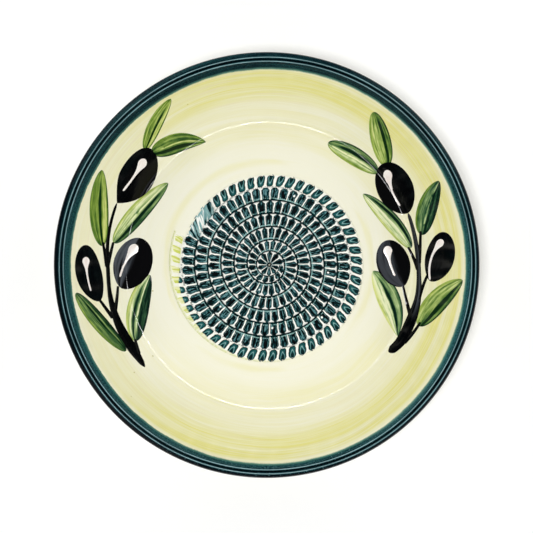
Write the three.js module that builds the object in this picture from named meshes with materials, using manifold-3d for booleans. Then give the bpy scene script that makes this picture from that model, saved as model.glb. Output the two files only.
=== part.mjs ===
// A hand-thrown ceramic grater bowl, in millimetres, +Z up, standing on its foot ring.
// The bowl is a turned clay shell with a foot ring luted under it and a two-bead rim rolled on top.
// The grater in its floor is one spiral of gouges, cut from the middle outwards in a row that winds
// clockwise. Each gouge leaves a raised lip at its inner end and a ridge against its neighbour, and
// these are the teeth. One turn of the spiral is one piece, seated in a pocket of the floor.

import * as THREE from "three";
import { mergeVertices } from "three/addons/utils/BufferGeometryUtils.js";
import Module from "manifold-3d";

const wasm = await Module();
wasm.setup();

// Overall sizes
const RIM_R = 100; // outer radius over the rim
const HEIGHT = 46; // table to the top of the rim
const RIM_H = 8; // height of the rim above the top of the wall
const RIM_W = 7; // width of the rim seen from above

// Clay shell
const WALL = 4; // thickness of the thrown wall
const WALL_RUN = 23; // how far the wall leans out, from its knee to the mouth
const WALL_LEAN = 38; // slope of the wall where it leaves the knee, in degrees
const KNEE_CURVE = 2.5; // length of the curve on each side of the knee
const FLOOR_T = 6; // thickness of the clay floor round the grater
const FLOOR_FALL = 1.6; // how far the floor falls from the grater to the knee
const GLAZE_T = 0.5; // thickness of the fired glaze coats

// Foot ring
const FOOT_H = 5; // height of the foot ring
const FOOT_W = 9; // width of the foot ring where it joins the floor
const FOOT_SET = 14; // how far the foot stands inside the knee
const FOOT_TAPER = 1.4; // how far each side of the foot draws in at the table
const FOOT_EDGE = 0.8; // rounding of the foot's lower edges

// Rim beads
const BEAD_R = 1.6; // radius of the two beads
const BEAD_PITCH = 2.5; // distance between their crests

// Grater
const FLOOR_MARGIN = 21; // plain floor between the grater and the knee
const SPIRAL_TURNS = 7.11; // turns of the spiral from its outer end to its start
const END_ANGLE = 161; // where the outer end of the spiral lies, in degrees from +X
const TOOTH_PITCH = 4.8; // tooth spacing along the outermost turn
const TOOTH_TAPER = 0.33; // how quickly that spacing closes up towards the middle
const HUB_R = 1; // pit in the middle, where the spiral starts
const START_W = 2.5; // least width of the row at its start
const GOUGE_DEPTH = 0.6; // deepest point of a gouge below the floor
const RIDGE_RISE = 0.8; // ridge between two gouges above the floor
const LIP_RISE = 1.5; // lip at the inner end of a gouge above the floor
const BED = 1.4; // clay left under the gouges
const LIP_SHARE = 0.2; // part of the row's width taken by the lip
const FLARE_SHARE = 0.3; // part of the row's width over which a ridge flares out
const RIDGE_SHARE = 0.2; // half width of a ridge as a part of the tooth spacing
const FLARE_WIDTH_SHARE = 0.4; // the same at the flared outer end

const CLEARANCE = 0.3; // gap between pieces whose meshes are not flush
const SAME_POINT = 1e-6; // points closer than this count as one
const AROUND = 56; // facets round a turned piece
const KNEE_STEPS = 2; // facets along the curve of the knee
const WALL_STEPS = 3; // facets up the wall
const BEAD_STEPS = 3; // facets along each bead
const OUTLINE_STEPS = 72; // facets round the pocket

// Derived places
const RIM_SEAT_Z = HEIGHT - RIM_H;
const MOUTH_R = RIM_R - RIM_W;
const KNEE_R = MOUTH_R - WALL_RUN;
const FLOOR_Z = FOOT_H + FLOOR_T + GLAZE_T;
const FOOT_R = KNEE_R - FOOT_SET;
const GRATER_R = KNEE_R - FLOOR_MARGIN;
const ROW_PITCH = (GRATER_R - HUB_R - START_W) / SPIRAL_TURNS;
const POCKET_Z = FLOOR_Z - GOUGE_DEPTH - BED;

const CLAY = new THREE.MeshStandardMaterial({ color: 0xd8c3a2, roughness: 0.9, metalness: 0 });
const CREAM_GLAZE = new THREE.MeshStandardMaterial({ color: 0xece8c4, roughness: 0.15, metalness: 0 });
const TEAL_GLAZE = new THREE.MeshStandardMaterial({ color: 0x1d4a4e, roughness: 0.18, metalness: 0 });
const TOOTH_GLAZE = new THREE.MeshStandardMaterial({ color: 0x2c5a5c, roughness: 0.3, metalness: 0 });

const radians = THREE.MathUtils.degToRad;
const bowl = new THREE.Group();

function addPiece(name, geometry, material) {
  const mesh = new THREE.Mesh(geometry, material);
  mesh.name = name;
  bowl.add(mesh);
}

// Turns a profile of (radius, height) points, listed counter-clockwise, about the Z axis.
function turned(points) {
  return new THREE.LatheGeometry(points, AROUND).rotateX(Math.PI / 2);
}

function closedRing(points) {
  return turned([...points, points[0].clone()]);
}

// A geometry as a solid that can be cut.
function solidOf(geometry) {
  const bare = geometry.clone().deleteAttribute("normal").deleteAttribute("uv");
  const merged = mergeVertices(bare);
  return new wasm.Manifold(
    new wasm.Mesh({
      numProp: 3,
      vertProperties: new Float32Array(merged.attributes.position.array),
      triVerts: new Uint32Array(merged.index.array),
    }),
  );
}

function geometryOf(solid) {
  const mesh = solid.getMesh();
  const geometry = new THREE.BufferGeometry();
  geometry.setAttribute("position", new THREE.BufferAttribute(mesh.vertProperties, 3));
  geometry.setIndex(new THREE.BufferAttribute(mesh.triVerts, 1));
  return geometry;
}

// The glazed inside from the grater's edge to the mouth: a floor that falls a little towards the knee,
// a tight curve there and a wall that steepens.
function insideCurve() {
  const lean = radians(WALL_LEAN);
  const up = new THREE.Vector2(Math.cos(lean), Math.sin(lean));
  const crown = new THREE.Vector2(GRATER_R, FLOOR_Z);
  const knee = new THREE.Vector2(KNEE_R, FLOOR_Z - FLOOR_FALL);
  const mouth = new THREE.Vector2(MOUTH_R, RIM_SEAT_Z);
  const floorEnd = knee.clone().add(crown.clone().sub(knee).setLength(KNEE_CURVE));
  const wallFoot = knee.clone().addScaledVector(up, KNEE_CURVE);
  const wallBend = wallFoot.clone().addScaledVector(up, wallFoot.distanceTo(mouth) / 2);
  const kneeCurve = new THREE.QuadraticBezierCurve(floorEnd, knee, wallFoot);
  const wallCurve = new THREE.QuadraticBezierCurve(wallFoot, wallBend, mouth);
  return [crown, ...kneeCurve.getPoints(KNEE_STEPS), ...wallCurve.getPoints(WALL_STEPS).slice(1)];
}

// The inside curve moved outwards through the clay. It ends level with the mouth.
function insideCurveAt(depth) {
  const points = insideCurve();
  const last = points.length - 1;
  return points.map((point, i) => {
    const along = points[Math.min(i + 1, last)].clone().sub(points[Math.max(i - 1, 0)]).normalize();
    if (i === 0) return new THREE.Vector2(point.x, point.y - depth);
    if (i === last) return new THREE.Vector2(point.x + depth / along.y, point.y);
    return new THREE.Vector2(point.x + depth * along.y, point.y - depth * along.x);
  });
}

// The outer faces start at the knee and leave out the floor, which ends flat on the foot ring.
const glazeFace = insideCurveAt(0);
const clayInside = insideCurveAt(GLAZE_T);
const clayOutside = insideCurveAt(GLAZE_T + WALL).slice(1);
const outsideFace = insideCurveAt(GLAZE_T + WALL + GLAZE_T).slice(1);

// Radius of the row's two edges, counted in turns from the outer end of the spiral.
const rowOuter = (turns) => GRATER_R - ROW_PITCH * turns;
const rowInner = (turns) => Math.max(rowOuter(turns + 1), HUB_R);
const rowAngle = (turns) => radians(END_ANGLE) + 2 * Math.PI * turns;
const TURN_PIECES = Math.round(SPIRAL_TURNS);

// The pocket that seats the grater, with the outline of the outermost turn.
function pocketCutter() {
  const outline = new THREE.Shape();
  for (let i = 0; i <= OUTLINE_STEPS; i++) {
    const turns = i / OUTLINE_STEPS;
    const radius = rowOuter(turns) + CLEARANCE;
    const x = radius * Math.cos(rowAngle(turns));
    const y = radius * Math.sin(rowAngle(turns));
    if (i === 0) outline.moveTo(x, y);
    else outline.lineTo(x, y);
  }
  outline.closePath();
  const cutter = new THREE.ExtrudeGeometry(outline, { depth: HEIGHT, bevelEnabled: false });
  return solidOf(cutter.translate(0, 0, POCKET_Z));
}

const pocket = pocketCutter();

// Clay shell: floor and wall thrown in one piece
const shellProfile = [
  new THREE.Vector2(0, FOOT_H),
  new THREE.Vector2(FOOT_R, FOOT_H),
  ...clayOutside,
  ...clayInside.toReversed(),
  new THREE.Vector2(0, FLOOR_Z - GLAZE_T),
];
addPiece("bowl_shell", geometryOf(solidOf(turned(shellProfile)).subtract(pocket)), CLAY);

// Glaze coat on the inside, open round the grater
const insideProfile = [
  new THREE.Vector2(0, FLOOR_Z - GLAZE_T),
  ...clayInside,
  ...glazeFace.toReversed(),
  new THREE.Vector2(0, FLOOR_Z),
];
addPiece("inside_glaze", geometryOf(solidOf(turned(insideProfile)).subtract(pocket)), CREAM_GLAZE);

// Glaze coat on the outside, from the rim to the bare foot
addPiece("outside_glaze", closedRing([...outsideFace, ...clayOutside.toReversed()]), CREAM_GLAZE);

// Rim: an inner slope and two beads with a groove between them
function rimProfile() {
  const seatOuter = outsideFace[outsideFace.length - 1].x;
  const beadZ = HEIGHT - BEAD_R;
  const outerBead = RIM_R - BEAD_R;
  const innerBead = outerBead - BEAD_PITCH;
  const groove = Math.acos(BEAD_PITCH / 2 / BEAD_R);
  const path = new THREE.Path();
  path.moveTo(MOUTH_R, RIM_SEAT_Z);
  path.lineTo(seatOuter, RIM_SEAT_Z);
  path.absarc(outerBead, beadZ, BEAD_R, 0, Math.PI - groove, false);
  path.absarc(innerBead, beadZ, BEAD_R, groove, Math.PI, false);
  return path.getPoints(BEAD_STEPS);
}
const apart = (point, i, all) => i === 0 || point.distanceTo(all[i - 1]) > SAME_POINT;
addPiece("rim_band", closedRing(rimProfile().filter(apart)), TEAL_GLAZE);

// Foot ring: tapered, with a flat face on the table
const footInner = FOOT_R - FOOT_W;
addPiece(
  "foot_ring",
  closedRing([
    new THREE.Vector2(footInner, FOOT_H),
    new THREE.Vector2(footInner + FOOT_TAPER - FOOT_EDGE, FOOT_EDGE),
    new THREE.Vector2(footInner + FOOT_TAPER, 0),
    new THREE.Vector2(FOOT_R - FOOT_TAPER, 0),
    new THREE.Vector2(FOOT_R - FOOT_TAPER + FOOT_EDGE, FOOT_EDGE),
    new THREE.Vector2(FOOT_R, FOOT_H),
  ]),
  CLAY,
);

// Teeth in one turn: their spacing closes up towards the middle.
function teethIn(firstTurn, lastTurn) {
  const middle = (firstTurn + lastTurn) / 2;
  const radius = (rowOuter(middle) + rowInner(middle)) / 2;
  const outermost = rowOuter(0.5) - ROW_PITCH / 2;
  const spacing = TOOTH_PITCH * (radius / outermost) ** TOOTH_TAPER;
  return Math.round(((lastTurn - firstTurn) * 2 * Math.PI * radius) / spacing);
}

// One turn of gouges as a closed solid: a grid of points over its top, a flat underside and walls.
// Each tooth has three columns of points, on the ridge and on the two sides of the gouge, and each
// column has a point at the lip, at the foot of the lip, where the ridge flares and at the outer edge.
function gougedTurn(firstTurn, lastTurn, fadesOut) {
  const teeth = teethIn(firstTurn, lastTurn);
  const across = [0, LIP_SHARE, 1 - FLARE_SHARE, 1];
  const halfRidge = [RIDGE_SHARE, RIDGE_SHARE, RIDGE_SHARE, FLARE_WIDTH_SHARE];
  const ridgeHeights = [RIDGE_RISE, RIDGE_RISE, RIDGE_RISE, fadesOut ? 0 : RIDGE_RISE / 2];
  const gougeHeights = [LIP_RISE, -GOUGE_DEPTH, -GOUGE_DEPTH / 2, 0];
  const columns = 3 * teeth + 1;
  const rows = across.length;
  const last = rows - 1;
  const startGap = CLEARANCE / (2 * Math.PI * rowOuter(firstTurn));
  const points = [];
  const faces = [];

  function addPoint(toothPlace, share, z) {
    const turns = firstTurn + startGap + (toothPlace / teeth) * (lastTurn - firstTurn - startGap);
    const inner = rowInner(turns) + CLEARANCE / 2;
    const outer = rowOuter(turns) - CLEARANCE / 2;
    const radius = THREE.MathUtils.lerp(inner, outer, share);
    points.push(radius * Math.cos(rowAngle(turns)), radius * Math.sin(rowAngle(turns)), z);
  }

  for (let column = 0; column < columns; column++) {
    const tooth = Math.floor(column / 3);
    const part = column % 3;
    across.forEach((share, row) => {
      const place = tooth + [0, halfRidge[row], 1 - halfRidge[row]][part];
      const rise = part === 0 ? ridgeHeights[row] : gougeHeights[row];
      addPoint(place, share, FLOOR_Z + rise);
    });
  }
  const firstBottom = columns * rows;
  for (let tooth = 0; tooth <= teeth; tooth++) {
    addPoint(tooth, 0, POCKET_Z);
    addPoint(tooth, 1, POCKET_Z);
  }

  const top = (column, row) => column * rows + row;
  const bottom = (tooth, side) => firstBottom + 2 * tooth + side;
  const quad = (a, b, c, d) => faces.push(a, b, c, a, c, d);

  for (let column = 0; column < columns - 1; column++) {
    for (let row = 0; row < last; row++) {
      quad(top(column, row), top(column, row + 1), top(column + 1, row + 1), top(column + 1, row));
    }
  }
  for (let tooth = 0; tooth < teeth; tooth++) {
    const column = 3 * tooth;
    quad(bottom(tooth, 0), bottom(tooth + 1, 0), bottom(tooth + 1, 1), bottom(tooth, 1));
    for (const [side, row] of [[0, 0], [1, last]]) {
      const near = bottom(tooth, side);
      const far = bottom(tooth + 1, side);
      const crest = [0, 1, 2, 3].map((step) => top(column + step, row));
      const wall = [near, crest[1], crest[0], near, crest[2], crest[1], near, far, crest[2], far, crest[3], crest[2]];
      faces.push(...(side === 1 ? wall : wall.toReversed()));
    }
  }
  for (const [column, tooth] of [[0, 0], [columns - 1, teeth]]) {
    const end = [bottom(tooth, 0), bottom(tooth, 1)];
    for (let row = last; row >= 0; row--) end.push(top(column, row));
    const fan = [];
    for (let i = 1; i < end.length - 1; i++) fan.push(end[0], end[i], end[i + 1]);
    faces.push(...(tooth === 0 ? fan : fan.toReversed()));
  }

  const geometry = new THREE.BufferGeometry();
  geometry.setAttribute("position", new THREE.Float32BufferAttribute(points, 3));
  geometry.setIndex(faces);
  return geometry;
}

// Grater: turn 1 is the rosette in the middle, and the last one fades out into the floor
for (let turn = 0; turn < TURN_PIECES; turn++) {
  const lastTurn = turn === TURN_PIECES - 1 ? SPIRAL_TURNS : turn + 1;
  addPiece(`grater_turn_${TURN_PIECES - turn}`, gougedTurn(turn, lastTurn, turn === 0), TOOTH_GLAZE);
}

export default bowl;
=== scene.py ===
import math

import bmesh
import bpy
import numpy as np
from mathutils import Matrix, Vector


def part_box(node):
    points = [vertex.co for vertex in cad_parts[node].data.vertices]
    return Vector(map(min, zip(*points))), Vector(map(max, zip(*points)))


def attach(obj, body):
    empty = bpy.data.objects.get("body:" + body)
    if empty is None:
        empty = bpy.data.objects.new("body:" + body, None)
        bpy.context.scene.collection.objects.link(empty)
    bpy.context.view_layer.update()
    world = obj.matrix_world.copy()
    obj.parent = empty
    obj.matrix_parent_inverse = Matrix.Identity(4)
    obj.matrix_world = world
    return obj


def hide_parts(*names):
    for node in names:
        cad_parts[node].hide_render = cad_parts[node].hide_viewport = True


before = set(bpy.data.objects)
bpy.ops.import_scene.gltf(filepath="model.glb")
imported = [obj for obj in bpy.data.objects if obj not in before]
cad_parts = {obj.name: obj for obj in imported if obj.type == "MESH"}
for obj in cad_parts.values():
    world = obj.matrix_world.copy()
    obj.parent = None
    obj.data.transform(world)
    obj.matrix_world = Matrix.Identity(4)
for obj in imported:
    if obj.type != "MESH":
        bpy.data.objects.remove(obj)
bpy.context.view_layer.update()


# Table, lamps and camera
# The bowl stands on a white table and is seen from almost straight above. The main lamp hangs over it, a
# little to the lower left, so a short shadow falls to the upper right. Wide weak lamps stand round it.
PICTURE_SIDE = 533
RIM_MIDDLE_X = 265.8
RIM_MIDDLE_Y = 264.7
RIM_RADIUS_PX = 213.8
SENSOR_MM = 36
CAMERA_HEIGHT = 1.0
CAMERA_ASIDE = (0.034, -0.011)
TABLE_RADIUS = 12
TABLE_SIDES = 96
TABLE_DROP = 0.0001
TABLE_WHITE = 0.8
TABLE_GLOW = 0.21
WORLD_LEVEL = 0.24
LAMP_DISTANCE = 1.3
MAIN_LAMP = {"bearing": 238, "lean": 4.4, "size": 0.2, "level": 0.47}
SIDE_LAMP_LEAN = 66
SIDE_LAMP_SIZE = 1.0
SIDE_LAMPS = {
    "upper_left_lamp": {"bearing": 135, "level": 0.112},
    "upper_right_lamp": {"bearing": 45, "level": 0.122},
    "lower_left_lamp": {"bearing": 225, "level": 0.088},
    "lower_right_lamp": {"bearing": 315, "level": 0.10},
}
FULL_LEVEL = 255
DISPLAY_GAMMA = 2.2


class Field:
    """One socket of a node tree, which can stand in sums: each operator adds a Math node."""

    def __init__(self, nodes, socket):
        self.nodes = nodes
        self.socket = socket

    def other(self, output):
        return Field(self.nodes, self.socket.node.outputs[output])

    def math(self, operation, *values):
        inputs = dict(enumerate(values))
        return self.nodes.add("ShaderNodeMath", {"operation": operation}, inputs)

    def __add__(self, value):
        return self.math("ADD", self, value)

    def __radd__(self, value):
        return self.math("ADD", value, self)

    def __sub__(self, value):
        return self.math("SUBTRACT", self, value)

    def __rsub__(self, value):
        return self.math("SUBTRACT", value, self)

    def __mul__(self, value):
        return self.math("MULTIPLY", self, value)

    def __rmul__(self, value):
        return self.math("MULTIPLY", value, self)

    def __truediv__(self, value):
        return self.math("DIVIDE", self, value)

    def __rtruediv__(self, value):
        return self.math("DIVIDE", value, self)

    def __pow__(self, value):
        return self.math("POWER", self, value)

    def __abs__(self):
        return self.math("ABSOLUTE", self)

    def at_most(self, value):
        return self.math("MINIMUM", self, value)

    def at_least(self, value):
        return self.math("MAXIMUM", self, value)

    def whole(self):
        return self.math("FLOOR", self)

    def fraction(self):
        return self.math("FRACT", self)

    def share(self):
        return self.at_least(0).at_most(1)

    def rise(self, low, high):
        """0 below low, 1 above high and a smooth step between, also where low is the larger one."""
        inputs = {"Value": self, "From Min": low, "From Max": high}
        return self.nodes.add("ShaderNodeMapRange", {"interpolation_type": "SMOOTHSTEP"}, inputs)

    def line(self, middle, half_width):
        """1 where the value is middle, fading to 0 at half_width to either side."""
        return abs(self - middle).rise(half_width, 0)


class Nodes:
    """A node tree that is being written. add() makes any node: its settings, then its sockets."""

    def __init__(self, tree):
        self.tree = tree

    def add(self, kind, settings=None, inputs=None, output=0):
        node = self.tree.nodes.new(kind)
        for name, value in (settings or {}).items():
            if name == "stops":
                self.set_stops(node.color_ramp, value)
            else:
                setattr(node, name, value)
        for key, value in (inputs or {}).items():
            self.fill(node.inputs[key], value)
        return Field(self, node.outputs[output]) if node.outputs else node

    def fill(self, socket, value):
        if isinstance(value, Field):
            self.tree.links.new(value.socket, socket)
        elif socket.type == "RGBA":
            socket.default_value = (*value, 1)
        else:
            socket.default_value = value

    def set_stops(self, ramp, stops):
        while len(ramp.elements) < len(stops):
            ramp.elements.new(1)
        for element, (position, colour) in zip(ramp.elements, stops):
            element.position = position
            element.color = (*colour, 1)

    def mix(self, factor, first, second):
        inputs = {0: factor, 6: first, 7: second}
        settings = {"data_type": "RGBA"}
        return self.add("ShaderNodeMix", settings, inputs, output=2)

    def vector(self, x, y, z):
        return self.add("ShaderNodeCombineXYZ", inputs={"X": x, "Y": y, "Z": z})

    def noise(self, vector, scale=1, detail=2, roughness=0.5):
        inputs = {"Vector": vector, "Scale": scale, "Detail": detail, "Roughness": roughness}
        return self.add("ShaderNodeTexNoise", inputs=inputs)


def colour_of(red, green, blue):
    """A colour of the photograph's scale, 0 to 255, as the shader's linear one."""
    return tuple((level / FULL_LEVEL) ** DISPLAY_GAMMA for level in (red, green, blue))


def new_finish(name):
    material = bpy.data.materials.new(name)
    material.use_nodes = True
    material.node_tree.nodes.clear()
    return material, Nodes(material.node_tree)


def show(nodes, surface):
    nodes.add("ShaderNodeOutputMaterial", inputs={"Surface": surface})


def new_piece(name, mesh, material):
    piece = bpy.data.objects.new(name, mesh)
    bpy.context.scene.collection.objects.link(piece)
    mesh.materials.append(material)
    return piece


def soft_lamp(name, bearing, lean, size, level):
    """A round lamp at a lean from straight above. It alone lights a level white surface to that level."""
    tilt = math.radians(lean)
    turn = math.radians(bearing)
    aside = math.sin(tilt)
    towards = Vector((aside * math.cos(turn), aside * math.sin(turn), math.cos(tilt)))
    data = bpy.data.lights.new(name, "AREA")
    data.shape = "DISK"
    data.size = size
    data.energy = level * (math.pi * LAMP_DISTANCE) ** 2 / towards.z
    lamp = bpy.data.objects.new(name, data)
    lamp.location = towards * LAMP_DISTANCE
    lamp.rotation_euler = towards.to_track_quat("Z", "Y").to_euler()
    bpy.context.scene.collection.objects.link(lamp)


soft_lamp("main_lamp", **MAIN_LAMP)
for lamp_name, lamp in SIDE_LAMPS.items():
    soft_lamp(lamp_name, lamp["bearing"], SIDE_LAMP_LEAN, SIDE_LAMP_SIZE, lamp["level"])

world = bpy.data.worlds.new("studio")
world.use_nodes = True
world.node_tree.nodes["Background"].inputs["Color"].default_value = (1, 1, 1, 1)
world.node_tree.nodes["Background"].inputs["Strength"].default_value = WORLD_LEVEL
bpy.context.scene.world = world
bpy.context.scene.view_settings.view_transform = "Standard"

rim_low, rim_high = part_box("rim_band")
focal_px = RIM_RADIUS_PX * CAMERA_HEIGHT / rim_high.x
eye = Vector((*CAMERA_ASIDE, rim_high.z + CAMERA_HEIGHT))
camera_ahead = (Vector((0, 0, rim_high.z)) - eye).normalized()
camera_right = camera_ahead.cross(Vector((0, 1, 0))).normalized()
camera_up = camera_right.cross(camera_ahead)
camera_turn = Matrix((camera_right, camera_up, -camera_ahead)).transposed()

camera_data = bpy.data.cameras.new("camera")
camera_data.lens = focal_px * SENSOR_MM / PICTURE_SIDE
camera_data.sensor_width = SENSOR_MM
camera_data.shift_x = (PICTURE_SIDE / 2 - RIM_MIDDLE_X) / PICTURE_SIDE
camera_data.shift_y = (RIM_MIDDLE_Y - PICTURE_SIDE / 2) / PICTURE_SIDE
camera = bpy.data.objects.new("camera", camera_data)
camera.matrix_world = Matrix.Translation(eye) @ camera_turn.to_4x4()
bpy.context.scene.collection.objects.link(camera)
bpy.context.scene.camera = camera


def white_table_finish():
    """Matt white that still catches the shadow, and glows where it is seen or mirrored."""
    material, nodes = new_finish("white_table")
    rays = nodes.add("ShaderNodeLightPath", output="Is Camera Ray")
    seen = rays.at_least(rays.other("Is Glossy Ray")).at_least(rays.other("Is Transmission Ray"))
    matt = nodes.add("ShaderNodeBsdfDiffuse", inputs={"Color": (TABLE_WHITE,) * 3})
    glow = nodes.add("ShaderNodeEmission", inputs={"Color": (1, 1, 1), "Strength": TABLE_GLOW})
    lit = nodes.add("ShaderNodeAddShader", inputs={0: matt, 1: glow})
    show(nodes, nodes.add("ShaderNodeMixShader", inputs={0: seen, 1: matt, 2: lit}))
    return material


def round_table():
    shape = bmesh.new()
    bmesh.ops.create_circle(shape, cap_ends=True, segments=TABLE_SIDES, radius=TABLE_RADIUS)
    bmesh.ops.translate(shape, verts=shape.verts, vec=(0, 0, -TABLE_DROP))
    mesh = bpy.data.meshes.new("table")
    shape.to_mesh(mesh)
    shape.free()
    return mesh


new_piece("table", round_table(), white_table_finish())


# Clay body
# The floor and wall of the bowl are thrown in one from buff earthenware and turned underneath. Glaze
# covers the clay inside and out, and the body shows only in the hollow of the foot.
MM = 0.001
GLAZE_T = 0.5
WALL_T = 4.0
FLOOR_T = 6.0
GRATER_R = 49.0
POCKET_R = 49.6
POCKET_DEPTH = 2.0
CROWN_R = 40.0
CROWN_CURVE = 2.5
KNEE_R = 70.0
KNEE_CURVE = 0.8
FLOOR_FALL = 1.6
WALL_LEAN = 45.0
MOUTH_R = 93.0
LIP_R = 93.2
LIP_Z = 42.8
LIP_CURVE = 0.7
SLOPE_END_R = 95.2
SLOPE_LEAN = 51.0
CLAY_BELOW_SEAT = 0.3
CLAY_BELOW_MOUTH = 0.2
CROWN_STEPS = 12
KNEE_STEPS = 40
WALL_STEPS = 80
LIP_STEPS = 9
CLAY_INSIDE_STEPS = 60
CLAY_OUTSIDE_STEPS = 50
ROUND_STEPS = 256
SHARP_EDGE = 55
MERGE_DISTANCE = 1e-7
LEAST_EDGE = 1e-8
CLAY_BUMP = 0.12
CLAY_PALE = colour_of(222, 203, 172)
CLAY_DARK = colour_of(196, 170, 134)
CLAY_GRIT = colour_of(142, 112, 82)

foot_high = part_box("foot_ring")[1]
foot_r = foot_high.x / MM
foot_top = foot_high.z / MM
outer_seat_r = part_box("outside_glaze")[1].x / MM
seat_z = rim_low.z / MM
floor_z = foot_top + FLOOR_T + GLAZE_T


def unit(vector):
    return vector / np.linalg.norm(vector)


def climbing(lean):
    """The unit step (r, z) that climbs outwards at a lean in degrees."""
    return np.array((math.cos(math.radians(lean)), math.sin(math.radians(lean))))


def curved(start, corner, end, steps):
    """Points (r, z) on a smooth curve from start to end, drawn towards the corner."""
    start, corner, end = (np.array(point, float) for point in (start, corner, end))
    ways = np.linspace(0, 1, steps)[:, None]
    return (1 - ways) ** 2 * start + 2 * ways * (1 - ways) * corner + ways**2 * end


def bowl_profile(mouth):
    """A floor that falls a little towards the knee, a tight curve there and a wall that steepens up to
    the mouth, as points (r, z) from the axis outwards."""
    crown = np.array((CROWN_R, floor_z))
    knee = np.array((KNEE_R, floor_z - FLOOR_FALL))
    fall = unit(knee - crown)
    climb = climbing(WALL_LEAN)
    wall_foot = knee + KNEE_CURVE * climb
    wall_bend = wall_foot + climb * np.linalg.norm(mouth - wall_foot) / 2
    return np.concatenate([
        [(0, floor_z)],
        curved(crown - (CROWN_CURVE, 0), crown, crown + CROWN_CURVE * fall, CROWN_STEPS),
        curved(knee - KNEE_CURVE * fall, knee, wall_foot, KNEE_STEPS),
        curved(wall_foot, wall_bend, mouth, WALL_STEPS)[1:],
    ])


def inside_profile():
    """The glazed inside: floor and wall, and past a soft corner the slope of the rim."""
    lip = np.array((LIP_R, LIP_Z))
    below = bowl_profile(lip)
    before = unit(below[-1] - below[-2])
    after = climbing(SLOPE_LEAN)
    corner = curved(lip - LIP_CURVE * before, lip, lip + LIP_CURVE * after, LIP_STEPS)
    end = lip + after * (SLOPE_END_R - LIP_R) / after[0]
    return np.concatenate([below[below[:, 0] < corner[0, 0]], corner, [end]])


def with_lean(profile):
    """The radii, heights and leans of a profile."""
    radii, heights = profile.T
    return radii, heights, np.arctan(np.gradient(heights, radii))


inside = with_lean(inside_profile())
thrown = with_lean(bowl_profile(np.array((MOUTH_R, seat_z))))


def inside_height(radius):
    """Height of the glazed inside, in millimetres, at a distance from the axis."""
    return np.interp(radius, inside[0], inside[1])


def beside(profile, depth, start_r, end_r, steps):
    """Points (r, z) that lie depth below a profile, from start_r to end_r."""
    radii, heights, leans = profile
    places = np.linspace(start_r, end_r, steps)
    lean = np.interp(places, radii, leans)
    out_r = places + depth * np.sin(lean)
    out_z = np.interp(places, radii, heights) - depth * np.cos(lean)
    return list(zip(out_r, out_z))


def join_rings(shape, rings):
    """Faces between each ring of points and the next, and from the last one back to the first."""
    for ring, following in zip(rings, rings[1:] + rings[:1]):
        for i in range(len(ring)):
            j = (i + 1) % len(ring)
            shape.faces.new((ring[i], following[i], following[j], ring[j]))


def finished_mesh(name, shape):
    """Merges doubled points, turns the faces outwards and makes a smooth mesh of a bmesh."""
    bmesh.ops.remove_doubles(shape, verts=shape.verts, dist=MERGE_DISTANCE)
    bmesh.ops.dissolve_degenerate(shape, edges=shape.edges, dist=LEAST_EDGE)
    bmesh.ops.recalc_face_normals(shape, faces=shape.faces)
    for face in shape.faces:
        face.smooth = True
    mesh = bpy.data.meshes.new(name)
    shape.to_mesh(mesh)
    shape.free()
    mesh.set_sharp_from_angle(angle=math.radians(SHARP_EDGE))
    return mesh


def turned(name, outline, steps=ROUND_STEPS):
    """A closed mesh: the outline of (r, z) points, in millimetres, turned round the bowl's axis."""
    shape = bmesh.new()
    rings = []
    for turn in np.linspace(0, 2 * math.pi, steps, endpoint=False):
        ring = [
            shape.verts.new((r * MM * math.cos(turn), r * MM * math.sin(turn), z * MM))
            for r, z in outline
        ]
        rings.append(ring)
    join_rings(shape, rings)
    return finished_mesh(name, shape)


def bowl_place(nodes):
    """The place on the bowl in millimetres: x, y, z and the distance from the axis."""
    place = nodes.add("ShaderNodeTexCoord", output="Object")
    scale = {0: place, "Scale": 1 / MM}
    millimetres = nodes.add("ShaderNodeVectorMath", {"operation": "SCALE"}, scale)
    x = nodes.add("ShaderNodeSeparateXYZ", inputs={0: millimetres})
    y = x.other("Y")
    z = x.other("Z")
    return x, y, z, (x * x + y * y) ** 0.5


def round_noise(nodes, place, across, around, shift, detail=2):
    """Noise drawn out round the bowl: across is how often it changes on 1 mm outwards, and around on
    one radius along the circle. Height takes part, so that walls get bands too."""
    x, y, z, radius = place
    vector = nodes.vector((radius + z) * across, x / radius * around, y / radius * around + shift)
    return nodes.noise(vector, detail=detail)


def coat(nodes, colour, roughness, height, bump_mm, gloss=0.5):
    """A surface of that colour and gloss, with a bump of bump_mm where height is 1."""
    bump_inputs = {"Height": height, "Distance": bump_mm * MM, "Strength": 1.0}
    bump = nodes.add("ShaderNodeBump", inputs=bump_inputs)
    inputs = {"Base Color": colour, "Roughness": roughness, "Specular IOR Level": gloss, "Normal": bump}
    return nodes.add("ShaderNodeBsdfPrincipled", inputs=inputs)


def bare_clay_finish():
    """Buff clay with turning rings, cloudy patches and dark grit."""
    material, nodes = new_finish("bare_clay")
    place = bowl_place(nodes)
    spot = nodes.vector(*place[:3])
    rings = round_noise(nodes, place, across=0.9, around=0.8, shift=3)
    cloud = nodes.noise(spot, scale=0.12, detail=4)
    grit = nodes.noise(spot, scale=1.7).rise(0.66, 0.74)
    grain = nodes.noise(spot, scale=3.5, detail=3)
    tone = (0.6 * rings + 0.6 * cloud - 0.1).share()
    colour = nodes.mix(tone, CLAY_DARK, CLAY_PALE)
    colour = nodes.mix(0.7 * grit, colour, CLAY_GRIT)
    height = rings + 0.5 * grain - 0.6 * grit
    show(nodes, coat(nodes, colour, 0.75 + 0.15 * cloud, height, CLAY_BUMP))
    return material


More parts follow.
